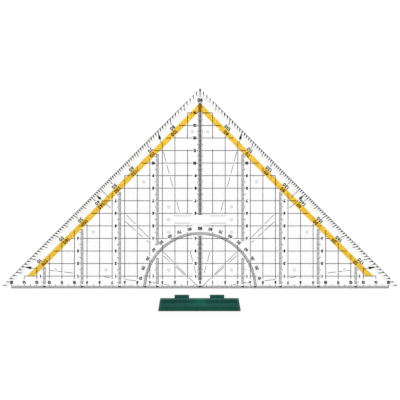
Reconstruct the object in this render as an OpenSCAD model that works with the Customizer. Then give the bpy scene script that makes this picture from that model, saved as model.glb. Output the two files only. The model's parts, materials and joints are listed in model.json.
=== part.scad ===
// Geometry triangle of clear plastic with printed scales, and its loose clip-in handle.
// The zero mark in the middle of the long edge is the origin, and the paper is z = 0.
// The handle lies in front of the long edge, as it does before it is clipped in.

/* [Plate] */
// Length of the long edge, whose two ends are 45 degree tips
hypotenuse = 320; // [310:1:340]
// Thickness of the clear plate without its nubs
plate_t = 2.4; // [2.2:0.1:3.2]
// Flat that blunts each of the two tips
tip_flat = 0.6; // [0.3:0.1:1.5]
// Chamfer along the upper side of the long edge
edge_bevel = 0.4; // [0.2:0.1:0.8]
// Width of the sloping facet along each leg
facet_w = 3.6; // [2.5:0.1:4.2]
// Drop of that facet at the leg
facet_drop = 0.5; // [0.3:0.1:0.9]
// Diameter of the nubs that hold the print off the paper
nub_d = 2.8; // [2.4:0.1:4]
// Height of the nubs under the plate
nub_h = 0.5; // [0.4:0.05:0.8]

/* [Slot] */
// Distance from the long edge to the middle of the slot
slot_y = 55.1; // [54.6:0.1:55.6]
// Step by which the middle of the slot is wider on each side than its ends
slot_step = 0.8; // [0.5:0.1:1]
// Play between a lug and the end of the slot
slot_end_play = 1.2; // [0.3:0.1:1.5]
// Play between a lug and each long wall of the slot
lug_play = 0.1; // [0.05:0.05:0.3]

/* [Handle] */
// Length of the handle where it sits on the plate
handle_foot_l = 62.5; // [58:0.5:70]
// How much further each end reaches at the top
handle_flare = 1.6; // [0.5:0.1:3]
// Height of the handle above the plate
handle_h = 10.1; // [9.5:0.1:14]
// Thickness of its foot and its rim
handle_t = 9; // [8:0.5:12]
// Height of the foot's edge
foot_h = 0.9; // [0.6:0.1:1.4]
// How far the foot's edge draws in towards the plate
foot_lean = 0.5; // [0.2:0.1:0.8]
// Thickness of the narrow waist
waist_t = 6.2; // [5.2:0.1:6.8]
// Height of the narrowest place of the waist
waist_h = 3.4; // [2.5:0.1:4.2]
// Thickness in the middle, where the waist swells
swell_t = 8; // [7.2:0.1:8.4]
// Length of the swelling
swell_l = 24; // [16:1:30]
// Step from the foot's edge down to the top of the grip face
grip_step = 0.6; // [0.3:0.1:1]
// Height of the rim along the top
rim_h = 2.7; // [2.2:0.1:3.2]
// Depth of the groove under the rim
rim_groove = 0.4; // [0.3:0.1:0.8]
// How far the side of the rim falls in towards its top
rim_fall = 0.9; // [0.4:0.1:1.4]
// Chamfer along the top of the rim
rim_bevel = 0.7; // [0.4:0.1:1.2]
// Chamfer on the long side of each end
end_bevel = 1.6; // [0.5:0.1:2]
// Width of a lug along the slot
lug_w = 11.6; // [9:0.1:12]
// Distance from the middle to the near side of a lug
lug_x = 8.2; // [8:0.1:10]
// Thickness of a lug
lug_t = 4.8; // [4:0.1:5.2]
// Length of a lug, which ends above the paper
lug_l = 2.7; // [2:0.1:2.7]
// Distance from the long edge to the foot of the loose handle
park_y = 7.6; // [6:0.1:20]
// Sideways place of the loose handle
park_x = -0.5; // [-5:0.1:5]

/* [Print] */
// Thickness of one layer of ink
ink_t = 0.04; // [0.02:0.01:0.05]
// Gap between two layers of ink
ink_gap = 0.01; // [0.005:0.005:0.02]
// Width of a grid line
grid_w = 0.5; // [0.3:0.05:0.6]
// Width of a millimetre tick on the long edge and on the centre scale
tick_w = 0.5; // [0.3:0.02:0.56]
// Width of a millimetre tick on an upright column
column_tick_w = 0.48; // [0.3:0.02:0.5]
// Width of a tick on the inner protractor
arc_tick_w = 0.42; // [0.24:0.02:0.46]
// Width of a degree tick where it meets the leg
leg_tick_w = 1; // [0.6:0.1:1.2]
// Width of a degree tick in the corners, where the ticks slant across the leg
corner_tick_w = 0.8; // [0.4:0.1:0.9]
// Width of the line that joins the degree ticks
leg_line_w = 0.35; // [0.15:0.05:0.45]
// Width of the line that an upright column or the inner protractor stands on
base_w = 0.25; // [0.2:0.05:0.4]
// Width of the line under the scale on the long edge
edge_line_w = 0.5; // [0.3:0.05:0.6]
// Distance from the long edge to that line
edge_line_y = 0.8; // [0.3:0.05:1]
// Width of the upright line in the middle of the centre scale
spine_w = 0.9; // [0.4:0.05:1]
// Width of a guide ray
guide_w = 0.4; // [0.2:0.05:0.5]
// Width of a pointer
pointer_w = 2; // [1.2:0.1:2.2]
// Distance from a leg to the outer edge of its coloured stripe
stripe_d = 8.45; // [8:0.05:9]
// Width of the coloured stripe
stripe_w = 4.45; // [4:0.05:5]
// Distance from the long edge to the lower end of the grid and to the stripes
grid_foot = 7.6; // [7:0.1:9]
// Radius of the inner protractor
arc_r = 43; // [42:0.5:44]
// Length of a millimetre tick on the long edge
mm_tick = 2.4; // [1.8:0.1:2.6]
// Length of a half centimetre tick on the long edge
half_tick = 3.3; // [2.8:0.1:3.5]
// Length of a tick on the inner protractor
arc_tick = 2.2; // [1.6:0.1:2.3]
// Length of a millimetre tick on an upright column
column_tick = 2.1; // [1.6:0.1:2.4]
// Depth to which a degree tick at a leg is bold
bold_tick = 2; // [1.4:0.1:2.1]
// Depth of a one degree tick at a leg
degree_tick = 2.8; // [2.4:0.1:3]
// Depth of a five degree tick at a leg
five_tick = 4.2; // [3.2:0.1:4.4]
// Depth of a ten degree tick at a leg
ten_tick = 5; // [4.6:0.1:5.2]

/* [Hidden] */
$fn = 96;
half = hypotenuse / 2;
top_z = nub_h + plate_t;
// One centimetre of the scales, which are true at every size of plate
cm = 10;
last_cm = floor(half / cm) - 1;
slot_end_w = lug_t + 2 * lug_play;
slot_mid_w = slot_end_w + 2 * slot_step;
slot_half_l = lug_x + lug_w + slot_end_play;
slot_mid_half_l = lug_x - 0.5;
// Distance from a leg to the outer end of the grid
grid_d = 9.6;
grid_sum = half - grid_d * sqrt(2);
stripe_out = half - stripe_d * sqrt(2);
stripe_in = half - (stripe_d + stripe_w) * sqrt(2);
label_d = stripe_d + stripe_w / 2;
arc_label_r = arc_r + 5.3;
// Gap between a leg and its degree ticks
leg_gap = 0.3;
// Degrees between which a line joins the ticks, and the ticks that stand alone by the tips and the apex
joined_ticks = [3, 86];
lone_ticks = [1, 2, 87, 88, 89];
// Degrees below and above which the ticks are in a corner
corner_degrees = [7, 82];
// Reach of the ticks to each side of the centre scale, for 1, 5 and 10 mm
centre_ticks = [1.75, 2.25, 2.75];
// Distances from the apex to the bold part and the foot of the 90 degree tick, and to the centre scale
apex_bold = 3.2;
apex_foot = 7.6;
apex_room = 11.5;
// Room for a number on the arc, and for one on a stripe
arc_number = [5, 3.8];
leg_number = [6.4, stripe_w + 0.4];
// Room for the numbers beside the centre scale and beside a column: distance and width
centre_room = [2.4, 3.5];
column_room = [2, 4.3];
// Field that the grid's columns leave bare, in centimetres: half width and height over the long edge
bare_cm = [1.5, last_cm - 4];
// Centimetres at which the grid is carried across the stripe to a corner
corner_cm = [1, 6, last_cm - 1];
// Foot of each column of millimetres, and the highest number that stands beside it
column_x = [for (k = [3, 6, 9, 12]) k * cm + 3];
column_top = [for (x = column_x) floor((stripe_in - x) / cm)];
column_foot = 4;
// Gap between the top of a column and the stripe
column_gap = 1.7;
// Nubs on the right half, in centimetres: a row along the stripe, its last beside a column, and the middle
rim_cm = last_cm - 2;
foot_cm = rim_cm - 1.5 - ((rim_cm - 2) % 3 == 0 ? 1 : 0);
nubs_cm = [
    [0.6, rim_cm - 0.5], [4.5, rim_cm - 4.5], [8.5, rim_cm - 8.5], [foot_cm, 1.5], [2.5, 6.5], [2.5, 5.5],
    [2.5, 4.5], [7.5, 1.5], [2.5, 1.5]
];
nub_play = 0.5;
// Dashes of the guide rays: angle, and distances of both ends from the zero mark
dashes = [
    [75, 105, 113], [75, 94.5, 102], [75, 84, 92], [75, 63.5, 71.5], [75, 22.5, 30.5], [75, 13, 18.5],
    [45, 73, 83], [45, 58, 69.5], [45, 30, 41], [45, 16, 26.5], [45, 2, 12.5],
    [42, 69, 79.5], [42, 61.5, 66], [42, 55, 57.5], [42, 32, 39], [42, 16.5, 26],
    [7, 110.5, 120.5], [7, 102, 109], [7, 72, 77], [7, 51.5, 60], [7, 36, 40], [7, 26.5, 29]
];
// Pointers: angle, and the depth from the leg at which the tail ends
pointers = [[75, 9], [42, 17.5], [7, 10.2]];
tail_gap = 1;
// Depths from the leg at which a pointer's tip and its round end lie
pointer_d = [1.9, 6.6];
// Height of the groove under the rim
groove_h = 0.45;

// Distance from the zero mark, along a ray, to a line at depth d inside the leg
function ray(a, d) = (half - d * sqrt(2)) / (cos(a) + sin(a));
// A point on that line, moved along the leg by s
function leg_point(a, d, s = 0) = ray(a, d) * [cos(a), sin(a)] + s * [-1, 1] / sqrt(2);
function polar(r, a, s = 0) = r * [cos(a), sin(a)] + s * [-sin(a), cos(a)];
function kind(i, one, five, ten) = i % 10 == 0 ? ten : i % 5 == 0 ? five : one;
function has(list, v) = len([for (e = list) if (e == v) e]) > 0;
// How far out the grid line at this many centimetres runs
function line_end(k, corners) = has(corners, k) ? cm * (last_cm - k) : grid_sum - cm * k;
// How far out a guide ray may run: short of the pointer's tail, or of the number on the stripe
function tail_d(a) = [for (p = pointers) if (p[0] == a) p[1]];
function ray_end(a) = ray(a, len(tail_d(a)) > 0 ? tail_d(a)[0] : label_d) - tail_gap;
function flat(lists) = [for (l = lists) each l];
// Half the width of a degree tick at the leg, and of its tail, both measured along the leg
function along_leg(a, w) = w * sqrt(2) / (cos(a) + sin(a)) / 2;
function in_corner(a) = a < corner_degrees[0] || a > corner_degrees[1];
function bold_half(a) = along_leg(a, in_corner(a) ? corner_tick_w : leg_tick_w);
function tail_half(a) = along_leg(a, a % 5 == 0 ? tick_w : 0.7 * tick_w);
function tick_depth(a) = kind(a, degree_tick, five_tick, ten_tick);
// Outline of a degree tick that points to the zero mark and starts at this depth inside the leg
function degree_tooth(a, start) = [
    leg_point(a, start, bold_half(a)), leg_point(a, bold_tick, 0.8 * bold_half(a)),
    leg_point(a, bold_tick + 0.3, tail_half(a)), leg_point(a, tick_depth(a), tail_half(a)),
    leg_point(a, tick_depth(a), -tail_half(a)), leg_point(a, bold_tick + 0.3, -tail_half(a)),
    leg_point(a, bold_tick, -0.8 * bold_half(a)), leg_point(a, start, -bold_half(a))
];

// One layer of ink, counted down from the underside of the plate
module ink(layer) {
    translate([0, 0, nub_h - layer * (ink_t + ink_gap)])
        linear_extrude(ink_t)
            children();
}

// A comb along +X from first to last mm, with ticks of width w up +Y from a line of width base
module comb(first, last, one, five, w, base) {
    teeth = flat([
        for (i = [last : -1 : first]) let(l = kind(abs(i), one, five, five)) [
            [i + w / 2, l], [i - w / 2, l], [i - w / 2, base], [max(i - 1 + w / 2, first - w / 2), base]
        ]
    ]);
    polygon(concat([[first - w / 2, 0], [last + w / 2, 0]], teeth));
}

// A comb along +Y from first to last mm, with ticks to both sides
module double_comb(first, last) {
    teeth = flat([
        for (i = [last : -1 : first]) let(
            l = kind(i, centre_ticks[0], centre_ticks[1], centre_ticks[2]),
            w = tick_w / 2
        ) [
            [spine_w / 2, i + w], [l, i + w], [l, i - w], [spine_w / 2, i - w]
        ]
    ]);
    count = len(teeth);
    polygon(concat(teeth, [for (i = [count - 1 : -1 : 0]) [-teeth[i][0], teeth[i][1]]]));
}

module both_sides() {
    children();
    mirror([1, 0])
        children();
}

module long_bevel(l) {
    rotate([45, 0, 0])
        cube([l, edge_bevel * sqrt(2), edge_bevel * sqrt(2)], center = true);
}

// A wedge that slopes down to the leg along +X
module leg_facet(l) {
    over = 1;
    rotate([90, 0, 90])
        linear_extrude(l, center = true)
            polygon([
                [-facet_w, 0], [over, -facet_drop * (facet_w + over) / facet_w],
                [over, over], [-facet_w, over]
            ]);
}

module slot() {
    cut_h = plate_t + nub_h + 2;
    translate([0, slot_y, 0]) {
        translate([-slot_half_l, -slot_end_w / 2, -1])
            cube([2 * slot_half_l, slot_end_w, cut_h]);
        translate([-slot_mid_half_l, -slot_mid_w / 2, -1])
            cube([2 * slot_mid_half_l, slot_mid_w, cut_h]);
        translate([-slot_half_l, 0, top_z])
            rotate([90, 0, 90])
                linear_extrude(2 * slot_half_l)
                    polygon([
                        [-slot_mid_w / 2, 0], [-slot_end_w / 2, -slot_step], [slot_end_w / 2, -slot_step],
                        [slot_mid_w / 2, 0], [slot_mid_w / 2, 1], [-slot_mid_w / 2, 1]
                    ]);
    }
}

module nub() {
    cylinder(h = nub_h + 0.2, d1 = nub_d - 0.2, d2 = nub_d + 0.1);
}

// Room that the guide rays leave round the nubs
module nub_room() {
    for (p = nubs_cm)
        translate(cm * p)
            circle(d = nub_d + 2 * nub_play);
}

module plate() {
    color([0.9, 0.95, 0.95, 0.3]) {
        difference() {
            translate([0, 0, nub_h])
                linear_extrude(plate_t)
                    polygon([
                        [-half + tip_flat, 0], [half - tip_flat, 0], [half - tip_flat, tip_flat],
                        [0, half], [-half + tip_flat, tip_flat]
                    ]);
            translate([0, 0, top_z])
                long_bevel(2 * hypotenuse);
            for (s = [-1, 1])
                translate([s * half / 2, half / 2, top_z])
                    rotate([0, 0, -45 * s])
                        leg_facet(2 * hypotenuse);
            slot();
        }
        for (s = [-1, 1])
            for (p = nubs_cm)
                translate([s * p[0] * cm, p[1] * cm, 0])
                    nub();
    }
}

// Side of the handle, foot at z = 0, with ends that lean outwards
module handle_side() {
    polygon([
        [-handle_foot_l / 2, 0], [handle_foot_l / 2, 0],
        [handle_foot_l / 2 + handle_flare, handle_h], [-handle_foot_l / 2 - handle_flare, handle_h]
    ]);
}

// Half of the section across the handle: foot, waist, grip face, groove and rim
module handle_section() {
    rim_z = handle_h - rim_h;
    crest_z = rim_z - groove_h;
    side = handle_t / 2;
    crest = side - grip_step;
    groove = crest - rim_groove;
    polygon([
        [0, 0], [side - foot_lean, 0], [side, foot_h], [waist_t / 2, waist_h], [crest, crest_z],
        [groove, crest_z + 0.2], [groove, rim_z], [side, rim_z + 0.2],
        [side - rim_fall, handle_h - rim_bevel], [side - rim_fall - rim_bevel, handle_h], [0, handle_h]
    ]);
}

// The waist swells in the middle, between two large arcs
module handle_swell() {
    swell_r = (swell_l * swell_l / 4 + swell_t * swell_t / 4) / swell_t;
    translate([0, 0, foot_h / 2])
        linear_extrude(handle_h - rim_h - foot_h / 2)
            intersection() {
                translate([0, swell_t / 2 - swell_r])
                    circle(r = swell_r);
                translate([0, swell_r - swell_t / 2])
                    circle(r = swell_r);
            }
}

module end_bevels() {
    lean = atan(handle_flare / handle_h);
    for (s = [-1, 1])
        for (t = [-1, 1])
            translate([s * handle_foot_l / 2, t * handle_t / 2, 0])
                rotate([0, s * lean, 0])
                    rotate([0, 0, 45])
                        cube([end_bevel * sqrt(2), end_bevel * sqrt(2), 4 * handle_h], center = true);
}

module lug() {
    tip = 0.4;
    translate([lug_x + lug_w, 0, 0])
        rotate([0, -90, 0])
            linear_extrude(lug_w)
                polygon([
                    [0.5, -lug_t / 2], [-lug_l + tip, -lug_t / 2], [-lug_l, -lug_t / 2 + tip],
                    [-lug_l, lug_t / 2 - tip], [-lug_l + tip, lug_t / 2], [0.5, lug_t / 2]
                ]);
}

// The handle upright, with its foot on z = 0 and its lugs below
module handle_upright() {
    difference() {
        union() {
            intersection() {
                translate([0, handle_t, 0])
                    rotate([90, 0, 0])
                        linear_extrude(2 * handle_t)
                            handle_side();
                translate([-handle_foot_l, 0, 0])
                    rotate([90, 0, 90])
                        linear_extrude(2 * handle_foot_l)
                            both_sides()
                                handle_section();
            }
            handle_swell();
        }
        end_bevels();
    }
    for (s = [0, 1])
        mirror([s, 0, 0])
            lug();
}

module handle() {
    color([0.05, 0.25, 0.2])
        translate([park_x, -park_y, handle_t / 2])
            rotate([90, 0, 0])
                handle_upright();
}

module stripe() {
    foot = 10;
    ink(5)
        polygon([[stripe_in - foot, foot], [stripe_out - foot, foot], [0, stripe_out], [0, stripe_in]]);
}

module stripe_right() {
    color([0.87, 0.5, 0.03])
        stripe();
}

module stripe_left() {
    color([0.87, 0.5, 0.03])
        mirror([1, 0, 0])
            stripe();
}

// Room in the grid for the numbers that stand on the stripes and round the arc
module number_room() {
    for (a = [10 : 10 : 80])
        both_sides()
            translate(leg_point(a, label_d))
                rotate(-45)
                    square(leg_number, center = true);
    for (a = [10 : 10 : 170])
        translate(polar(arc_label_r, a))
            rotate(a - 90)
                square(arc_number, center = true);
}

module grid_rows() {
    color([0.1, 0.1, 0.1])
        ink(1)
            difference() {
                for (k = [1 : last_cm - 1]) {
                    reach = line_end(k, [for (c = corner_cm) last_cm - c]);
                    translate([-reach, cm * k - grid_w / 2])
                        square([2 * reach, grid_w]);
                }
                number_room();
                translate([-centre_room[0] - centre_room[1], grid_foot])
                    square([centre_room[1], half]);
                for (i = [0 : len(column_x) - 1])
                    both_sides()
                        translate([column_x[i] + column_room[0], grid_foot])
                            square([column_room[1], max(cm * column_top[i] - grid_foot + 3, cm / 2)]);
            }
}

module grid_columns() {
    color([0.1, 0.1, 0.1])
        ink(2)
            difference() {
                both_sides()
                    for (k = [1 : last_cm - 1])
                        translate([cm * k - grid_w / 2, grid_foot])
                            square([grid_w, line_end(k, corner_cm) - grid_foot]);
                number_room();
                translate([-slot_half_l - 1, slot_y - slot_mid_w / 2 - 1])
                    square([2 * slot_half_l + 2, slot_mid_w + 2]);
                translate([-bare_cm[0] * cm, bare_cm[1] * cm + grid_w])
                    square([2 * bare_cm[0] * cm, cm - 2 * grid_w]);
            }
}

module long_edge_scale() {
    last = cm * last_cm;
    color([0.1, 0.1, 0.1])
        ink(3)
            translate([0, edge_line_y])
                comb(-last, last, mm_tick - edge_line_y, half_tick - edge_line_y, tick_w, edge_line_w);
}

// Ticks of the outer protractor are bold at the leg, and a thin line joins them
module leg_scale() {
    first = joined_ticks[0];
    last = joined_ticks[1];
    ink(3) {
        polygon(concat(
            [leg_point(first, leg_gap, -bold_half(first)), leg_point(last, leg_gap, bold_half(last))],
            flat([for (a = [last : -1 : first]) degree_tooth(a, leg_gap + leg_line_w)])
        ));
        for (a = lone_ticks)
            polygon(degree_tooth(a, leg_gap));
    }
}

module leg_scale_right() {
    color([0.1, 0.1, 0.1])
        leg_scale();
}

module leg_scale_left() {
    color([0.1, 0.1, 0.1])
        mirror([1, 0, 0])
            leg_scale();
}

module arc_scale() {
    inner = [for (a = [4 : 176]) polar(arc_r, a, a == 4 ? -arc_tick_w / 2 : a == 176 ? arc_tick_w / 2 : 0)];
    teeth = flat([
        for (a = [176 : -1 : 4]) let(r = arc_r + kind(a, arc_tick, arc_tick, 2.5), w = arc_tick_w / 2) [
            polar(arc_r + base_w, a, w), polar(r, a, w), polar(r, a, -w), polar(arc_r + base_w, a, -w)
        ]
    ]);
    color([0.1, 0.1, 0.1])
        ink(4)
            polygon(concat(inner, teeth));
}

// The 90 degree tick, bold at the apex
module apex_tick() {
    t = tick_w / 2;
    b = leg_tick_w / 2;
    foot = half - apex_foot;
    bold = half - apex_bold;
    top = half - b - leg_gap;
    polygon([[-t, foot], [t, foot], [t, bold], [b, bold], [b, top], [-b, top], [-b, bold], [-t, bold]]);
}

// Both halves of the upright scale over the zero mark, and the tick at the apex
module centre_scale() {
    slot_top = slot_y + slot_mid_w / 2;
    color([0.1, 0.1, 0.1])
        ink(3) {
            double_comb(floor(grid_foot), ceil(arc_r) - 1);
            double_comb(ceil(slot_top + 0.5), floor(half - apex_room));
            apex_tick();
        }
}

// One upright column of millimetres, open where the arc and its numbers pass, from lift mm above the numbers
module column(x, lift) {
    top = max(floor(stripe_in - x - column_gap), column_foot + 3);
    clear = arc_label_r * arc_label_r - x * x;
    near = arc_r * arc_r - (x + column_tick) * (x + column_tick);
    foot = column_foot;
    parts = near > 0 ? [[foot, ceil(sqrt(near)) - 1], [floor(sqrt(clear)) + lift, top]] : [[foot, top]];
    ink(3)
        for (p = parts)
            translate([x, 0])
                mirror([1, -1])
                    comb(p[0], p[1], column_tick, column_tick + 1, column_tick_w, base_w);
}

module column_right(i) {
    color([0.1, 0.1, 0.1])
        column(column_x[i], 3);
}

module column_left(i) {
    color([0.1, 0.1, 0.1])
        mirror([1, 0, 0])
            column(column_x[i], 0);
}

module guide_rays() {
    ink(4)
        difference() {
            union() {
                for (d = dashes)
                    if (d[1] < ray_end(d[0]))
                        rotate(d[0])
                            translate([d[1], -guide_w / 2])
                                square([min(d[2], ray_end(d[0])) - d[1], guide_w]);
                rotate(45)
                    translate([ray(45, label_d), -guide_w / 2])
                        square([ray(45, 1) - ray(45, label_d), guide_w]);
            }
            nub_room();
        }
}

module guide_rays_right() {
    color([0.1, 0.1, 0.1])
        guide_rays();
}

module guide_rays_left() {
    color([0.1, 0.1, 0.1])
        mirror([1, 0, 0])
            guide_rays();
}

// Drop shapes that point out along a guide ray, each with a thin tail
module pointer_drops() {
    ink(4)
        for (p = pointers) {
            tip = ray(p[0], pointer_d[0]);
            foot = ray(p[0], pointer_d[1]);
            tail = ray(p[0], p[1]);
            w = pointer_w / 2;
            t = guide_w / 2;
            rotate(p[0])
                polygon([
                    [tip, 0], [foot + 1.2, w], [foot + 0.4, w], [foot, w - 0.4], [foot, t], [tail, t],
                    [tail, -t], [foot, -t], [foot, 0.4 - w], [foot + 0.4, -w], [foot + 1.2, -w]
                ]);
        }
}

module pointers_right() {
    color([0.1, 0.1, 0.1])
        pointer_drops();
}

module pointers_left() {
    color([0.1, 0.1, 0.1])
        mirror([1, 0, 0])
            pointer_drops();
}

// Small wedges on the long edge at the zero mark, the ends of the arc and the foot of each column
module index_marks() {
    color([0.1, 0.1, 0.1])
        ink(4) {
            polygon([[0, 0.4], [1.1, 2.2], [-1.1, 2.2]]);
            for (x = concat([arc_r + 0.8], [for (c = column_x) c + 1]))
                both_sides()
                    translate([x, 0])
                        polygon([[0, 0.4], [1, 2.2], [-1, 2.2]]);
        }
}

plate();
handle();
stripe_left();
stripe_right();
grid_rows();
grid_columns();
long_edge_scale();
leg_scale_left();
leg_scale_right();
arc_scale();
centre_scale();
column_left(0);  // column_left_3
column_left(1);  // column_left_6
column_left(2);  // column_left_9
column_left(3);  // column_left_12
column_right(0);  // column_right_3
column_right(1);  // column_right_6
column_right(2);  // column_right_9
column_right(3);  // column_right_12
guide_rays_left();
guide_rays_right();
pointers_left();
pointers_right();
index_marks();
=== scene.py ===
import json
import math

import bpy
import numpy as np
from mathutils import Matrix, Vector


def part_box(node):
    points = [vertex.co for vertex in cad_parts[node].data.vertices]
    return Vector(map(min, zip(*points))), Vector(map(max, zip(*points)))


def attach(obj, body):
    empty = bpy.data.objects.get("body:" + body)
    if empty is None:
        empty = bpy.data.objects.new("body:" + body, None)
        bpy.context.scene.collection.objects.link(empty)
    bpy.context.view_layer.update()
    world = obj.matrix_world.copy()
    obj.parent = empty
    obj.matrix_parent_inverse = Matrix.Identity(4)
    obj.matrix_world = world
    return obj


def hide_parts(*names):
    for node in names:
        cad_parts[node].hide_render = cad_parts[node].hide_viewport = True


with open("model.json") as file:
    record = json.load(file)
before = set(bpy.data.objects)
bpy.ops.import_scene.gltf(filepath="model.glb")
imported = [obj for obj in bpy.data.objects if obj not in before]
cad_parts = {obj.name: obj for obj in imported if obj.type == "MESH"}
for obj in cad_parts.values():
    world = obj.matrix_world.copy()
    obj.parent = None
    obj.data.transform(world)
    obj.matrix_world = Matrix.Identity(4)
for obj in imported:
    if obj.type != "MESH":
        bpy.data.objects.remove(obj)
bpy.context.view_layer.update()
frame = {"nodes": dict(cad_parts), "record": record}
nodes = frame["nodes"]
print("frame loaded:", len(nodes), "nodes")

mm = 0.001
cm = 10.0  # mm
plateHalf = 160.0  # mm, half the long edge, measured to the sharp corners
scene = bpy.context.scene
scene.view_settings.view_transform = "Standard"


# camera: straight above, long lens, so the plate shows as a plan view
cameraView = {
    "lookAt": (-0.06, 70.6),  # mm in the plane of the paper, the middle of the picture
    "frameWidth": 318.7,  # mm of paper across the picture
    "lens": 200.0,
    "sensor": 36.0,
    "clip": (0.01, 50.0),  # m
}


def makeCamera(v):
    data = bpy.data.cameras.new("planCamera")
    data.lens = v["lens"]
    data.sensor_width = v["sensor"]
    data.clip_start, data.clip_end = v["clip"]
    cam = bpy.data.objects.new("planCamera", data)
    scene.collection.objects.link(cam)
    height = v["frameWidth"] * v["lens"] / v["sensor"]
    cam.location = (v["lookAt"][0] * mm, v["lookAt"][1] * mm, height * mm)
    scene.camera = cam


makeCamera(cameraView)
print("camera set")


# node helpers
def newMaterial(name):
    mat = bpy.data.materials.new(name)
    mat.use_nodes = True
    tree = mat.node_tree
    tree.nodes.clear()
    surface = tree.nodes.new("ShaderNodeOutputMaterial").inputs["Surface"]
    return mat, tree, surface


def newGroup(name, inputs, outputs):
    tree = bpy.data.node_groups.new(name, "ShaderNodeTree")
    for label, value in inputs:
        socket = tree.interface.new_socket(label, in_out="INPUT", socket_type="NodeSocketFloat")
        socket.default_value = value
    for label in outputs:
        tree.interface.new_socket(label, in_out="OUTPUT", socket_type="NodeSocketFloat")
    return tree, tree.nodes.new("NodeGroupInput").outputs, tree.nodes.new("NodeGroupOutput").inputs


def addGroup(tree, group, **values):  # places a group with its own values and gives its one output
    n = tree.nodes.new("ShaderNodeGroup")
    n.node_tree = group
    for label, value in values.items():
        n.inputs[label].default_value = value
    return n.outputs[0]


def feed(tree, socket, value):  # a number is set on the socket, anything else is linked to it
    if isinstance(value, float):
        socket.default_value = value
    else:
        tree.links.new(value, socket)


def rangeNode(tree, source, fromLow, fromHigh, low, high, blend="LINEAR"):
    n = tree.nodes.new("ShaderNodeMapRange")
    n.interpolation_type = blend
    feed(tree, n.inputs["Value"], source)
    feed(tree, n.inputs["From Min"], fromLow)
    feed(tree, n.inputs["From Max"], fromHigh)
    feed(tree, n.inputs["To Min"], low)
    feed(tree, n.inputs["To Max"], high)
    return n.outputs["Result"]


def mathNode(tree, operation, first, second=0.0):
    n = tree.nodes.new("ShaderNodeMath")
    n.operation = operation
    feed(tree, n.inputs[0], first)
    feed(tree, n.inputs[1], second)
    return n.outputs[0]


def mixColour(tree, factor, first, second):  # first is a colour or another node's colour, second a colour
    n = tree.nodes.new("ShaderNodeMix")
    n.data_type = "RGBA"
    if isinstance(first, tuple):
        n.inputs["A"].default_value = (*first, 1.0)
    else:
        tree.links.new(first, n.inputs["A"])
    n.inputs["B"].default_value = (*second, 1.0)
    tree.links.new(factor, n.inputs["Factor"])
    return n.outputs["Result"]


def axes(tree):  # the three Object coordinates, in metres of the shared frame
    coord = tree.nodes.new("ShaderNodeTexCoord")
    split = tree.nodes.new("ShaderNodeSeparateXYZ")
    tree.links.new(coord.outputs["Object"], split.inputs["Vector"])
    return split.outputs["X"], split.outputs["Y"], split.outputs["Z"]


def distanceFrom(tree, source, centre):  # distance of a coordinate from a centre in mm
    return mathNode(tree, "ABSOLUTE", mathNode(tree, "SUBTRACT", source, centre * mm))


def closerThan(tree, distance, limit):  # mask where a distance is less than a limit in mm
    return mathNode(tree, "LESS_THAN", distance, limit * mm)


def furtherThan(tree, distance, limit):  # mask where a distance is more than a limit in mm
    return mathNode(tree, "GREATER_THAN", distance, limit * mm)


def times(tree, first, second):  # product, of two masks the place where both hold
    return mathNode(tree, "MULTIPLY", first, second)


def insideLeg(tree, x, y):
    # depth inside the nearer leg: half the long edge less |x| and y, divided by root two
    fromApex = mathNode(tree, "ADD", distanceFrom(tree, x, 0.0), y)
    return times(tree, mathNode(tree, "SUBTRACT", plateHalf * mm, fromApex), math.sqrt(0.5))


# effects that several materials share
mottleLook = {
    "detail": 3.0,
    "noiseRange": (0.3, 0.7),  # values of the noise that become Low and High
}
scratchLook = {
    "turns": (0.5, 2.1),  # radians, the two directions of the marks
    "stretch": 60.0,
    "detail": 1.0,
    "peaks": (0.66, 0.74),  # values of the noise where a mark begins and where it is full
}


def makeMottle(v):  # soft cloudy noise on Object coordinates, brought into the range Low to High
    tree, given, result = newGroup("mottle", [("Scale", 200.0), ("Low", 0.0), ("High", 1.0)], ["Value"])
    coord = tree.nodes.new("ShaderNodeTexCoord")
    noise = tree.nodes.new("ShaderNodeTexNoise")
    noise.inputs["Detail"].default_value = v["detail"]
    tree.links.new(coord.outputs["Object"], noise.inputs["Vector"])
    tree.links.new(given["Scale"], noise.inputs["Scale"])
    value = rangeNode(tree, noise.outputs["Fac"], *v["noiseRange"], given["Low"], given["High"])
    tree.links.new(value, result["Value"])
    return tree


def makeScratches(v):  # noise drawn out along one direction, kept only at its peaks: hairline wear marks
    tree, given, result = newGroup("hairScratches", [("Scale", 40.0), ("Amount", 0.5)], ["Mask"])
    coord = tree.nodes.new("ShaderNodeTexCoord")
    masks = []
    for turn in v["turns"]:
        turned = tree.nodes.new("ShaderNodeMapping")
        turned.inputs["Rotation"].default_value = (0.0, 0.0, turn)
        turned.inputs["Scale"].default_value = (1.0, v["stretch"], 1.0)
        noise = tree.nodes.new("ShaderNodeTexNoise")
        noise.inputs["Detail"].default_value = v["detail"]
        tree.links.new(coord.outputs["Object"], turned.inputs["Vector"])
        tree.links.new(turned.outputs["Vector"], noise.inputs["Vector"])
        tree.links.new(given["Scale"], noise.inputs["Scale"])
        masks.append(rangeNode(tree, noise.outputs["Fac"], *v["peaks"], 0.0, 1.0))
    strongest = mathNode(tree, "MAXIMUM", *masks)
    tree.links.new(times(tree, strongest, given["Amount"]), result["Mask"])
    return tree


mottleGroup = makeMottle(mottleLook)
scratchGroup = makeScratches(scratchLook)


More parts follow.
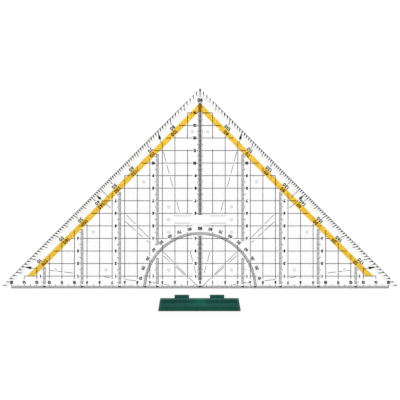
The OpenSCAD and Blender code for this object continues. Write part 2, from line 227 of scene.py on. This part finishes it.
# clear plastic: glass with hairline scratches; painted shade in grey on the ground ramps, slot rim and nubs
# and on trapped light; faint grey facet bands
clearPlastic = {
    "tint": (0.997, 0.996, 0.998),
    "ior": 1.49,
    "mirrorings": 1.5,  # light that has been mirrored more often than this is let out
    "trappedPaintedShade": (0.50, 0.54, 0.54),  # painted shade: it is let out darkened, which draws the plate's outlines grey
    "scratchScale": 30.0, "scratchRough": 0.03,
    "slotY": 55.1, "slotHalf": (7.7, 3.3),  # mm, the slot's middle line, and half its wide middle
    "rim": 0.5,  # mm, the soft edge of the wide middle
    # painted shade: the rim of the slot's wide middle is tinted grey
    "rimPaintedShade": (0.72, 0.72, 0.73),
    "rampFrom": 7.7, "rampTo": 21.0, "rampAt": 2.8, "rampHalf": 0.45,  # mm, the ramps beside the slot
    # painted shade: the ramps beside the slot are tinted grey where shade falls; their roughness is a real
    # ground finish
    "rampPaintedShade": (0.42, 0.43, 0.43), "rampRough": 0.25,
    "nubTop": 0.05,  # mm above the paper, only the face that rests on it is ground
    # painted shade: the nub's resting face is tinted grey to draw it as a dark disc; its roughness is a
    # ground finish
    "nubPaintedShade": (0.60, 0.585, 0.59), "nubRough": 0.35,
    "facetAt": 3.4, "facetInner": 0.5, "facetOuter": 1.3,  # mm, a faint grey band where the facet on a leg begins
    "facetColour": (0.925, 0.922, 0.918),
}


def makeClearPlastic(v):
    mat, tree, surface = newMaterial("clearAcrylic")
    n, links = tree.nodes, tree.links
    glass = n.new("ShaderNodeBsdfPrincipled")
    glass.inputs["IOR"].default_value = v["ior"]
    glass.inputs["Transmission Weight"].default_value = 1.0
    x, y, z = axes(tree)
    fromMiddle = distanceFrom(tree, x, 0.0)
    fromSlot = distanceFrom(tree, y, v["slotY"])
    pastWide = furtherThan(tree, fromMiddle, v["rampFrom"])
    alongRamp = times(tree, pastWide, closerThan(tree, fromMiddle, v["rampTo"]))
    fromRamp = distanceFrom(tree, fromSlot, v["rampAt"])
    ramp = times(tree, alongRamp, closerThan(tree, fromRamp, v["rampHalf"]))
    rimX = closerThan(tree, fromMiddle, v["slotHalf"][0])
    rimY = closerThan(tree, fromSlot, v["slotHalf"][1] + v["rim"])
    nub = closerThan(tree, z, v["nubTop"])
    fromFacet = distanceFrom(tree, insideLeg(tree, x, y), v["facetAt"])
    facet = rangeNode(tree, fromFacet, v["facetInner"] * mm, v["facetOuter"] * mm, 1.0, 0.0, "SMOOTHSTEP")
    # painted shade: grey at the rim of the slot's wide middle
    colour = mixColour(tree, times(tree, rimX, rimY), v["tint"], v["rimPaintedShade"])
    # painted shade: grey on the ramps beside the slot
    colour = mixColour(tree, ramp, colour, v["rampPaintedShade"])
    colour = mixColour(tree, facet, colour, v["facetColour"])
    # painted shade: grey on the resting face of each nub
    colour = mixColour(tree, nub, colour, v["nubPaintedShade"])
    links.new(colour, glass.inputs["Base Color"])
    wear = addGroup(tree, scratchGroup, Scale=v["scratchScale"], Amount=v["scratchRough"])
    rough = mathNode(tree, "MAXIMUM", wear, times(tree, ramp, v["rampRough"]))
    rough = mathNode(tree, "MAXIMUM", rough, times(tree, nub, v["nubRough"]))
    links.new(rough, glass.inputs["Roughness"])
    letOut = n.new("ShaderNodeBsdfTransparent")  # lets lamps in, and light out that is trapped inside
    path = n.new("ShaderNodeLightPath").outputs
    trapped = mathNode(tree, "GREATER_THAN", path["Glossy Depth"], v["mirrorings"])
    # painted shade: trapped light leaves darkened, so the plate's outlines show grey
    links.new(mixColour(tree, trapped, (1.0, 1.0, 1.0), v["trappedPaintedShade"]), letOut.inputs["Color"])
    mix = n.new("ShaderNodeMixShader")
    links.new(mathNode(tree, "MAXIMUM", path["Is Shadow Ray"], trapped), mix.inputs["Fac"])
    links.new(glass.outputs["BSDF"], mix.inputs[1])
    links.new(letOut.outputs["BSDF"], mix.inputs[2])
    links.new(mix.outputs["Shader"], surface)
    return mat


# inks: thin matt films with a slight mottle
blackPrint = {
    "dark": (0.008, 0.008, 0.010), "light": (0.020, 0.020, 0.022),
    "cloudScale": 900.0, "gritScale": 3600.0,
    "rough": (0.52, 0.68), "specular": 0.1,
    "stripeAt": 10.68, "stripeHalf": 2.23, "stripeFoot": 7.6,  # mm, the orange stripe inside a leg
    "underStripe": (0.098, 0.014, 0.0),  # black seen through the orange ink
}
orangePrint = {
    "dark": (0.845, 0.535, 0.03), "light": (0.885, 0.585, 0.046),
    "cloudScale": 300.0, "gritScale": 1200.0,
    "rough": (0.47, 0.63), "specular": 0.1,
}


def makeInk(name, v):
    mat, tree, surface = newMaterial(name)
    links = tree.links
    ink = tree.nodes.new("ShaderNodeBsdfPrincipled")
    ink.inputs["Specular IOR Level"].default_value = v["specular"]
    cloud = addGroup(tree, mottleGroup, Scale=v["cloudScale"], Low=0.0, High=1.0)
    colour = mixColour(tree, cloud, v["dark"], v["light"])
    if "underStripe" in v:
        x, y = axes(tree)[:2]
        fromStripe = distanceFrom(tree, insideLeg(tree, x, y), v["stripeAt"])
        aboveFoot = furtherThan(tree, y, v["stripeFoot"])
        stripe = times(tree, closerThan(tree, fromStripe, v["stripeHalf"]), aboveFoot)
        colour = mixColour(tree, stripe, colour, v["underStripe"])
    links.new(colour, ink.inputs["Base Color"])
    grit = addGroup(tree, mottleGroup, Scale=v["gritScale"], Low=v["rough"][0], High=v["rough"][1])
    links.new(grit, ink.inputs["Roughness"])
    links.new(ink.outputs["BSDF"], surface)
    return mat


# green plastic: moulded with a fine grain, with painted light: lighter in the middle of the grip where more
# light falls
greenPlastic = {
    "deep": (0.0060, 0.084, 0.060), "fresh": (0.0072, 0.094, 0.0675),
    "cloudScale": 90.0,
    # painted light: a lighter colour in the middle of the grip, where more light falls on it
    "paintedLightColour": (0.0098, 0.132, 0.097),
    "paintedLightAt": -0.5, "paintedLightInner": 1.5, "paintedLightOuter": 11.0,  # mm along the handle
    "paintedLightStrong": -9.6, "paintedLightNone": -18.5,  # mm across it, from the foot towards the rim
    "worn": (0.030, 0.140, 0.115),
    "wearScale": 55.0, "wearAmount": 0.25,
    "rough": (0.25, 0.30), "roughScale": 600.0,
    "grainScale": 4200.0,  # spark-eroded mould texture, about a quarter of a millimetre
    "grainDepth": 0.00002, "grainStrength": 0.2,
}


def makeGreenPlastic(v):
    mat, tree, surface = newMaterial("greenMoulded")
    links = tree.links
    body = tree.nodes.new("ShaderNodeBsdfPrincipled")
    cloud = addGroup(tree, mottleGroup, Scale=v["cloudScale"], Low=0.0, High=1.0)
    colour = mixColour(tree, cloud, v["deep"], v["fresh"])
    x, y = axes(tree)[:2]
    # painted light: the middle of the grip is made lighter where more light falls on it
    fromGrip = distanceFrom(tree, x, v["paintedLightAt"])
    paintedLightX = rangeNode(tree, fromGrip, v["paintedLightInner"] * mm, v["paintedLightOuter"] * mm, 1.0, 0.0, "SMOOTHSTEP")
    paintedLightY = rangeNode(tree, y, v["paintedLightNone"] * mm, v["paintedLightStrong"] * mm, 0.0, 1.0, "SMOOTHSTEP")
    colour = mixColour(tree, times(tree, paintedLightX, paintedLightY), colour, v["paintedLightColour"])
    wear = addGroup(tree, scratchGroup, Scale=v["wearScale"], Amount=v["wearAmount"])
    links.new(mixColour(tree, wear, colour, v["worn"]), body.inputs["Base Color"])
    rough = addGroup(tree, mottleGroup, Scale=v["roughScale"], Low=v["rough"][0], High=v["rough"][1])
    links.new(rough, body.inputs["Roughness"])
    grain = addGroup(tree, mottleGroup, Scale=v["grainScale"], Low=0.0, High=1.0)
    bump = tree.nodes.new("ShaderNodeBump")
    bump.inputs["Strength"].default_value = v["grainStrength"]
    bump.inputs["Distance"].default_value = v["grainDepth"]
    links.new(grain, bump.inputs["Height"])
    links.new(bump.outputs["Normal"], body.inputs["Normal"])
    links.new(body.outputs["BSDF"], surface)
    return mat


def dressNodes(bySlot):  # each CAD node takes the material of its slot in the record
    for part in frame["record"]["subparts"]:
        held = nodes[part["node"]].data.materials
        held.clear()
        held.append(bySlot[part["material_slot"]])


blackInk = makeInk("blackPrint", blackPrint)
green = makeGreenPlastic(greenPlastic)
dressNodes({
    "clear_plastic": makeClearPlastic(clearPlastic),
    "black_ink": blackInk,
    "orange_ink": makeInk("orangePrint", orangePrint),
    "green_plastic": green,
})
print("materials made")


# mesh helpers
def makePiece(name, points, faces, material, body):
    mesh = bpy.data.meshes.new(name)
    mesh.from_pydata(points.tolist(), [], faces)
    mesh.materials.append(material)
    mesh.update()
    piece = bpy.data.objects.new(name, mesh)
    scene.collection.objects.link(piece)
    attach(piece, body)
    return piece


def tubeFaces(rings, count, first, mirrored=False):
    # quads between closed rings of count points, and a cap on each end ring: one face, or on a ring whose
    # second half mirrors its first, a strip of quads between the points that mirror each other
    i = np.arange(rings - 1)[:, None] * count + first
    j = np.arange(count)[None, :]
    k = (j + 1) % count
    quads = np.stack([i + j, i + k, i + count + k, i + count + j], axis=-1).reshape(-1, 4)
    m = np.arange(count // 2 - 1)
    cap = np.stack([m, m + 1, count - 2 - m, count - 1 - m], axis=-1) if mirrored else j
    last = first + (rings - 1) * count
    return quads.tolist() + (first + cap[:, ::-1]).tolist() + (last + cap).tolist()


def roundCorners(corners, radii, steps):
    # each corner becomes an arc: tangent length r / tan(half angle), swept by spherical interpolation
    p = np.asarray(corners, float)
    r = np.asarray(radii, float)[:, None]
    toPrev = np.roll(p, 1, axis=0) - p
    toNext = np.roll(p, -1, axis=0) - p
    toPrev /= np.linalg.norm(toPrev, axis=1, keepdims=True)
    toNext /= np.linalg.norm(toNext, axis=1, keepdims=True)
    halfAngle = np.arccos(np.clip((toPrev * toNext).sum(1, keepdims=True), -1, 1)) / 2
    middle = toPrev + toNext
    middle /= np.linalg.norm(middle, axis=1, keepdims=True)
    centre = p + middle * r / np.sin(halfAngle)
    a = p + toPrev * r / np.tan(halfAngle) - centre
    b = p + toNext * r / np.tan(halfAngle) - centre
    f = np.linspace(0, 1, steps)[None, :, None]
    s = (math.pi - 2 * halfAngle)[:, :, None]
    swept = (np.sin((1 - f) * s) * a[:, None] + np.sin(f * s) * b[:, None]) / np.sin(s)
    return (centre[:, None] + swept).reshape(-1, 2)


def fillPath(path, gap):  # each straight stretch is cut into equal parts no longer than the gap
    stretch = np.diff(path, axis=0)
    parts = np.ceil(np.linalg.norm(stretch, axis=1) / gap).astype(int)
    part = np.arange(parts.sum()) - np.repeat(np.cumsum(parts) - parts, parts)
    share = (part / np.repeat(parts, parts))[:, None]
    cut = np.repeat(path[:-1], parts, axis=0) + np.repeat(stretch, parts, axis=0) * share
    return np.vstack([cut, path[-1:]])


def edgeInset(depth, radius):  # quarter circle: how far a rounded end draws in at this depth from the end
    e = np.clip(radius - depth, 0, radius)
    return radius - np.sqrt(np.maximum(radius**2 - e**2, 0))


def bevelInset(depth, width, soft):  # 45 degree bevel: smooth maximum of zero and width minus depth
    e = (width - depth) / 2
    return e + np.sqrt(e**2 + soft)


# handle: section carried along its length, ends leaning out, waist swelling in the middle
handleSizes = {  # mm
    "footLength": 62.5, "flare": 1.6, "height": 10.1, "thickness": 9.0,
    "footHeight": 0.9, "footDrop": 0.25, "lean": 0.5,
    "waist": 6.2, "waistHeight": 3.4, "gripStep": 0.6,
    "grooveHeight": 0.45, "grooveSlope": 0.2, "rimGroove": 0.4,
    "rimHeight": 2.7, "rimFall": 0.9, "rimBevel": 0.7,
    "cornerRadii": (0.2, 0.25, 0.9, 0.2, 0.09, 0.09, 0.25, 3.0, 0.5),  # from the foot up to the rim's top
    "swell": 8.0, "swellLength": 24.0, "swellHollow": 0.25,
    "swellFront": 0.47, "swellBack": 0.06,  # how much fuller it is before and behind the waist
    "swellStart": 0.6, "swellRise": 0.6, "swellFall": 0.4,  # heights between which it grows and dies away
    "swellSoft": 0.09, "bevelSoft": 0.015,  # mm squared, softness of the crease and of the bevel's edge
    "endBevel": 1.6, "endRound": 0.4, "endZone": 2.4,
    "lugWidth": 11.6, "lugInner": 8.2, "lugThickness": 4.8, "lugLength": 2.95,
    "lugCorner": 0.5, "lugTip": 0.4, "lugMiddle": 1.5, "lugRoot": 0.3,
    "parkX": -0.5, "parkY": 7.6,  # where it lies in front of the plate
    "sectionGap": 0.4, "cornerSteps": 7, "endRings": 13, "innerRings": 40,  # fineness of the mesh
    "lugCornerSteps": 5, "lugTipRings": 6,
    "sharpAngle": 40.0,  # degrees, sharper edges aren't smoothed over
}


def handleSection(v):
    # closed outline in (thickness, height): the right half has its corners rounded as a moulding tool leaves
    # them and its straight stretches cut up, and the left half is its mirror image
    t, h = v["thickness"] / 2, v["height"]
    rim = h - v["rimHeight"]
    crest, crestHeight = t - v["gripStep"], rim - v["grooveHeight"]
    groove, fall = crest - v["rimGroove"], t - v["rimFall"]
    side = np.array([
        (t - v["lean"], -v["footDrop"]),
        (t, v["footHeight"]),
        (v["waist"] / 2, v["waistHeight"]),
        (crest, crestHeight),
        (groove, crestHeight + v["grooveSlope"]),
        (groove, rim),
        (t, rim + v["grooveSlope"]),
        (fall, h - v["rimBevel"]),
        (fall - v["rimBevel"], h),
    ])
    corners = np.vstack([side, side[::-1] * (-1, 1)])
    radii = v["cornerRadii"] + v["cornerRadii"][::-1]
    rounded = roundCorners(corners, radii, v["cornerSteps"])
    half = fillPath(rounded[:len(rounded) // 2], v["sectionGap"])
    return np.vstack([half, half[::-1] * (-1, 1)])


def handleBody(v):
    # the section is carried along x, and each end leans out with the height; between foot and rim the half
    # width t becomes the smooth maximum of itself and a lens, a flat arc of a circle about the middle;
    # at the ends t is drawn in by the bevel, and the height by a quarter circle
    section = handleSection(v)
    t, h = section[:, 0][None, :], section[:, 1][None, :]
    halfLength, halfThick = v["footLength"] / 2, v["thickness"] / 2
    nearEnd = np.linspace(0, v["endZone"], v["endRings"])
    inner = np.linspace(v["endZone"], halfLength, v["innerRings"])[1:]
    depth = np.concatenate([nearEnd, inner])
    depth = np.concatenate([depth, depth[-2::-1]])[:, None]
    side = np.sign(np.arange(len(depth)) - (len(depth) - 1) / 2)[:, None]
    reach = halfLength + v["flare"] * h / v["height"]
    x = side * (reach - depth * reach / halfLength)
    bend = (v["swellLength"] ** 2 / 4 + v["swell"] ** 2 / 4) / v["swell"]
    lens = np.sqrt(np.maximum(bend**2 - x**2, 0)) - bend + v["swell"] / 2 - v["swellHollow"]
    overWaist = h - v["waistHeight"]
    lens = lens + v["swellFront"] * np.sqrt(np.maximum(-overWaist, 0))
    lens = lens + v["swellBack"] * np.maximum(overWaist, 0)
    grown = np.clip((h - v["swellStart"]) / v["swellRise"], 0, 1)
    kept = np.clip((v["height"] - v["rimHeight"] - h) / v["swellFall"], 0, 1)
    wide = np.abs(t)
    full = 0.5 * (wide + lens + np.sqrt((wide - lens) ** 2 + v["swellSoft"]))
    swollen = np.sign(t) * np.clip(full, wide, halfThick)
    t = t + (swollen - t) * grown * kept * (lens > 0)
    t = t * (1 - bevelInset(depth, v["endBevel"], v["bevelSoft"]) / halfThick)
    mid = v["height"] / 2
    up = mid + (h - mid) * (1 - edgeInset(depth, v["endRound"]) / mid)
    return np.stack(np.broadcast_arrays(x, t, up), axis=-1)


def handleLug(v, side):
    # rounded rectangle carried down from inside the foot, drawn in by a quarter circle at its tip
    a, b = v["lugWidth"] / 2, v["lugThickness"] / 2
    corner, tip, steps = v["lugCorner"], v["lugTip"], v["lugCornerSteps"]
    angle = np.radians(np.arange(4)[:, None] * 90 + np.linspace(0, 90, steps)[None, :]).ravel()
    cx = np.repeat([1, -1, -1, 1], steps) * (a - corner)
    cy = np.repeat([1, 1, -1, -1], steps) * (b - corner)
    tipDepth = tip * (1 - np.cos(np.linspace(0, math.pi / 2, v["lugTipRings"])))
    depth = np.concatenate([tipDepth, [v["lugMiddle"], v["lugLength"] + v["lugRoot"]]])[:, None]
    r = corner - edgeInset(depth, tip)
    x = cx + r * np.cos(angle) + side * (v["lugInner"] + a)
    y = cy + r * np.sin(angle)
    z = np.broadcast_to(depth - v["lugLength"], x.shape)
    return np.stack([x, y, z], axis=-1)


def makeHandle(v):  # body and lugs, laid on their side: height becomes -y and thickness becomes z
    shells = [(handleBody(v), True), (handleLug(v, -1), False), (handleLug(v, 1), False)]
    points, faces = [], []
    for shell, mirrored in shells:
        rings, count = shell.shape[:2]
        faces += tubeFaces(rings, count, sum(len(p) for p in points), mirrored)
        points.append(shell.reshape(-1, 3))
    x, thick, height = np.vstack(points).T
    lying = np.stack([x + v["parkX"], -height - v["parkY"], thick + v["thickness"] / 2], axis=1)
    piece = makePiece("handle_grip", lying * mm, faces, green, "grip")
    piece.data.polygons.foreach_set("use_smooth", np.ones(len(piece.data.polygons), bool))
    piece.data.set_sharp_from_angle(angle=math.radians(v["sharpAngle"]))
    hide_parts("handle")


makeHandle(handleSizes)
print("handle made")


# numerals: one-line drawing-office figures, each stroke a flat bar carried along its path
numeralSizes = {  # mm: height and width of a figure along its stroke, step to the next, width of the stroke
    "edge": (1.8, 0.86, 1.48, 0.74),
    "upright": (1.75, 0.92, 1.58, 0.80),
    "leg": (2.3, 1.25, 2.2, 0.68),
    "apex": (2.3, 1.25, 2.1, 0.85),
    "arc": (2.0, 1.05, 1.65, 0.62),
    "arcTop": (2.2, 1.15, 1.75, 0.80),
    "oneStep": 0.62,  # share of the step that a figure 1 takes
    "thick": 0.03,
    "underPlate": 0.155,  # mm below the top of the grid's ink
    "leastMitre": 0.45,  # share of the half width below which a sharp corner is cut off
}
printPlan = {  # mm, where the numbers stand
    "turn": 180, "legTurns": (225, 135),  # degrees, the numbers are read from the apex side
    "edgeRow": 5.0, "lastCm": 15,
    "centreCm": (1, 2, 3, 4, 6, 7, 8, 9, 10, 11, 12, 13, 14),
    "centreX": (-3.6, -4.2),  # of one figure, and of two
    "columns": ((37.3, (1, 4, 5, 6, 7, 8, 9, 10)), (67.2, range(1, 8)), (97.2, range(1, 5)), (127.0, (1,))),
    "outerRow": (7.1, 1.15),  # depth inside the leg, and its last stretch, which is square to the leg
    "innerRow": (10.9, 1.9),
    "apexY": 150.2,
    "arcRadius": 48.05,
}


def arc(cx, cy, rx, ry, start, end, count):  # points on an ellipse, at equal angles from start to end
    a = np.radians(np.linspace(start, end, count))
    return np.stack([cx + rx * np.cos(a), cy + ry * np.sin(a)], axis=1)


def line(*points):  # the points themselves
    return np.array(points, float)


figureBox = np.array([0.6, 1.0])  # width and height in which the figures are drawn
sixStroke = np.vstack([
    line((0.52, 0.96)),
    arc(0.42, 0.30, 0.42, 0.62, 115, 180, 4),
    arc(0.3, 0.3, 0.3, 0.3, 190, 530, 11),
])
zeroStroke = np.vstack([
    arc(0.3, 0.68, 0.3, 0.32, 0, 180, 7),
    arc(0.3, 0.32, 0.3, 0.32, 180, 360, 7),
    line((0.6, 0.68)),
])
fiveStroke = np.vstack([
    line((0.54, 1.0), (0.10, 1.0), (0.05, 0.56)),
    arc(0.27, 0.32, 0.32, 0.32, 125, -140, 8),
])
figureStrokes = {
    "0": [zeroStroke],
    "1": [line((0.12, 0.76), (0.36, 1.0), (0.36, 0.0))],
    "2": [np.vstack([arc(0.3, 0.7, 0.29, 0.3, 170, -25, 8), line((0.0, 0.0), (0.6, 0.0))])],
    "3": [np.vstack([arc(0.28, 0.75, 0.26, 0.25, 150, -70, 7), arc(0.28, 0.27, 0.31, 0.27, 70, -150, 8)])],
    "4": [line((0.46, 0.0), (0.46, 1.0), (0.0, 0.26), (0.62, 0.26))],
    "5": [fiveStroke],
    "6": [sixStroke],
    "7": [line((0.0, 1.0), (0.6, 1.0), (0.2, 0.0))],
    "8": [arc(0.3, 0.76, 0.25, 0.24, -90, 270, 11), arc(0.3, 0.26, 0.3, 0.27, 90, 450, 11)],
    "9": [figureBox - sixStroke],
}


def strokeBar(path, width, leastMitre):
    # each point of the path goes half the width to both sides along its mitre, and the end points half the
    # width on along the path: left row, then right row
    step = np.diff(path, axis=0)
    step /= np.linalg.norm(step, axis=1, keepdims=True)
    before, after = np.vstack([step[:1], step]), np.vstack([step, step[-1:]])
    along = before + after
    along /= np.maximum(np.linalg.norm(along, axis=1, keepdims=True), 1e-6)
    normal = np.stack([-along[:, 1], along[:, 0]], axis=1)
    mitre = np.maximum((along * after).sum(1, keepdims=True), leastMitre)
    shift = normal * width / 2 / mitre
    ends = np.zeros_like(path)
    ends[0], ends[-1] = -step[0] * width / 2, step[-1] * width / 2
    return path + ends + shift, path + ends - shift


def figureMesh(text, x, y, turn, look, v, first):
    # the strokes of a number, centred on (x, y) and turned; each is a ring of four points, two on the left
    # row and two on the right one, carried along its path
    tall, wide, step, stroke = look
    c, s = math.cos(math.radians(turn)), math.sin(math.radians(turn))
    room = np.array([v["oneStep"] if figure == "1" else 1.0 for figure in text]) * step
    middles = np.cumsum(room) - room / 2 - room.sum() / 2
    points, faces = [], []
    for figure, middle in zip(text, middles):
        for path in figureStrokes[figure]:
            drawn = (path - figureBox / 2) * ((wide, tall) / figureBox) + (middle, 0.0)
            left, right = strokeBar(drawn, stroke, v["leastMitre"])
            ring = np.stack([left, left, right, right], axis=1)
            z = np.broadcast_to([-v["thick"], 0.0, 0.0, -v["thick"]], ring.shape[:2]) - v["underPlate"]
            px = x + ring[..., 0] * c - ring[..., 1] * s
            py = y + ring[..., 0] * s + ring[..., 1] * c
            points.append(np.stack([px, py, z], axis=-1).reshape(-1, 3))
            faces += tubeFaces(len(path), 4, first)
            first += len(points[-1])
    return np.vstack(points), faces


def legPlace(angle, depth, square):
    # where the ray at this angle meets a parallel of the leg, then a stretch further in, square to the leg
    a = math.radians(angle)
    r = (plateHalf - (depth - square) * math.sqrt(2)) / (math.cos(a) + math.sin(a))
    return r * math.cos(a) - square / math.sqrt(2), r * math.sin(a) - square / math.sqrt(2)


def numberList(p, v):  # for each piece its numbers: text, place in mm, turn in degrees, look of the figures
    rows = {"edge": [], "upright": [], "leg": [], "arc": []}
    for k in range(-p["lastCm"], p["lastCm"] + 1):
        rows["edge"].append((str(abs(k)), cm * k, p["edgeRow"], p["turn"], v["edge"]))
    for k in p["centreCm"]:
        rows["upright"].append((str(k), p["centreX"][k > 9], cm * k, p["turn"], v["upright"]))
    for x, figures in p["columns"]:
        for side in (-1, 1):
            rows["upright"] += [(str(k), side * x, cm * k, p["turn"], v["upright"]) for k in figures]
    leftTurn, rightTurn = p["legTurns"]
    for a in range(10, 90, 10):
        for row, onLeft, onRight in ((p["outerRow"], a, 180 - a), (p["innerRow"], 180 - a, a)):
            x, y = legPlace(a, *row)
            rows["leg"].append((str(onLeft), -x, y, leftTurn, v["leg"]))
            rows["leg"].append((str(onRight), x, y, rightTurn, v["leg"]))
    rows["leg"].append(("90", 0.0, p["apexY"], p["turn"], v["apex"]))
    for a in range(10, 180, 10):
        x, y = p["arcRadius"] * math.cos(math.radians(a)), p["arcRadius"] * math.sin(math.radians(a))
        rows["arc"].append((str(min(a, 180 - a)), x, y, a + 90, v["arcTop" if a == 90 else "arc"]))
    return rows


def makeNumerals(p, v):
    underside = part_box("grid_rows")[1].z / mm
    for row, numbers in numberList(p, v).items():
        points, faces, count = [], [], 0
        for number in numbers:
            drawn, joined = figureMesh(*number, v, count)
            points.append(drawn)
            faces += joined
            count += len(drawn)
        placed = np.vstack(points) + (0, 0, underside)
        makePiece("numerals_" + row, placed * mm, faces, blackInk, "triangle")
        print("numerals", row, len(numbers))


makeNumerals(printPlan, numeralSizes)


# studio: pale floor, even sky that mirrors see as cards and walls, one broad soft lamp from the apex side
studio = {
    "floorSize": 6.0, "floorDrop": 0.02 * mm,  # m, the nubs stand just clear of the floor
    "floorAlbedo": 0.15, "floorGlow": 0.905, "floorBounce": 0.59,
    "sky": 0.635,  # light on the object
    "overhead": 0.12, "middle": 0.40, "horizon": 0.95,  # in mirrors: card over the camera, ceiling, walls
    "cardFade": (0.75, 0.95), "wallFade": (0.05, 0.5),  # heights in the sky, 1 is overhead
    "front": 0.02, "frontFade": (-0.6, -0.08), "frontTaper": 0.45,  # dark card on the long edge's side
    "frontFoot": 0.6, "frontFootFade": (0.24, 0.38),  # paler again low down
    "lampPower": 14.0, "lampSize": 1.0, "lampAt": (0.12, 1.25, 1.2), "lampAim": (0.0, 0.05, 0.0),  # W and m
}


def seenClearly(tree):
    # camera mask, and a mask of mirror and see-through rays that no matt surface has scattered
    path = tree.nodes.new("ShaderNodeLightPath").outputs
    throughGlass = mathNode(tree, "MAXIMUM", path["Is Glossy Ray"], path["Is Transmission Ray"])
    unscattered = mathNode(tree, "LESS_THAN", path["Diffuse Depth"], 0.5)  # a whole number, so none at all
    return path["Is Camera Ray"], times(tree, throughGlass, unscattered)


def makeSky(v):
    world = bpy.data.worlds.new("studioSky")
    scene.world = world
    world.use_nodes = True
    tree = world.node_tree
    back = tree.nodes["Background"]
    back.inputs["Color"].default_value = (1.0, 1.0, 1.0, 1.0)
    toSky = tree.nodes.new("ShaderNodeTexCoord")
    split = tree.nodes.new("ShaderNodeSeparateXYZ")
    tree.links.new(toSky.outputs["Generated"], split.inputs["Vector"])
    sideways, forward, up = split.outputs["X"], split.outputs["Y"], split.outputs["Z"]
    ceiling = rangeNode(tree, up, *v["cardFade"], v["middle"], v["overhead"])
    walls = rangeNode(tree, up, *v["wallFade"], v["horizon"], ceiling)
    fromAxis = times(tree, mathNode(tree, "ABSOLUTE", sideways), v["frontTaper"])
    front = rangeNode(tree, mathNode(tree, "ADD", forward, fromAxis), *v["frontFade"], v["front"], 1.0)
    front = mathNode(tree, "MAXIMUM", front, rangeNode(tree, up, *v["frontFootFade"], v["frontFoot"], 0.0))
    camera, throughGlass = seenClearly(tree)
    strength = rangeNode(tree, throughGlass, 0.0, 1.0, v["sky"], times(tree, walls, front))
    tree.links.new(rangeNode(tree, camera, 0.0, 1.0, strength, 1.0), back.inputs["Strength"])


def makeFloor(v):
    mat, tree, surface = newMaterial("paleFloor")
    n, links = tree.nodes, tree.links
    lit = n.new("ShaderNodeBsdfDiffuse")
    lit.inputs["Color"].default_value = (v["floorAlbedo"],) * 3 + (1.0,)
    glow = n.new("ShaderNodeEmission")
    direct = mathNode(tree, "MAXIMUM", *seenClearly(tree))
    links.new(rangeNode(tree, direct, 0.0, 1.0, v["floorBounce"], v["floorGlow"]), glow.inputs["Strength"])
    joined = n.new("ShaderNodeAddShader")
    links.new(lit.outputs["BSDF"], joined.inputs[0])
    links.new(glow.outputs["Emission"], joined.inputs[1])
    links.new(joined.outputs["Shader"], surface)
    s, z = v["floorSize"] / 2, -v["floorDrop"]
    mesh = bpy.data.meshes.new("floor")
    mesh.from_pydata([(-s, -s, z), (s, -s, z), (s, s, z), (-s, s, z)], [], [(0, 1, 2, 3)])
    mesh.materials.append(mat)
    floor = bpy.data.objects.new("floor", mesh)
    scene.collection.objects.link(floor)


def makeLamp(v):
    lamp = bpy.data.lights.new("softLamp", "AREA")
    lamp.energy = v["lampPower"]
    lamp.size = v["lampSize"]
    holder = bpy.data.objects.new("softLamp", lamp)
    scene.collection.objects.link(holder)
    holder.location = v["lampAt"]
    holder.visible_glossy = False
    x, y, z = np.subtract(v["lampAim"], v["lampAt"])
    holder.rotation_euler = (math.atan2(math.hypot(x, y), -z), 0.0, math.atan2(y, x) - math.pi / 2)


makeSky(studio)
makeFloor(studio)
makeLamp(studio)
print("studio made")
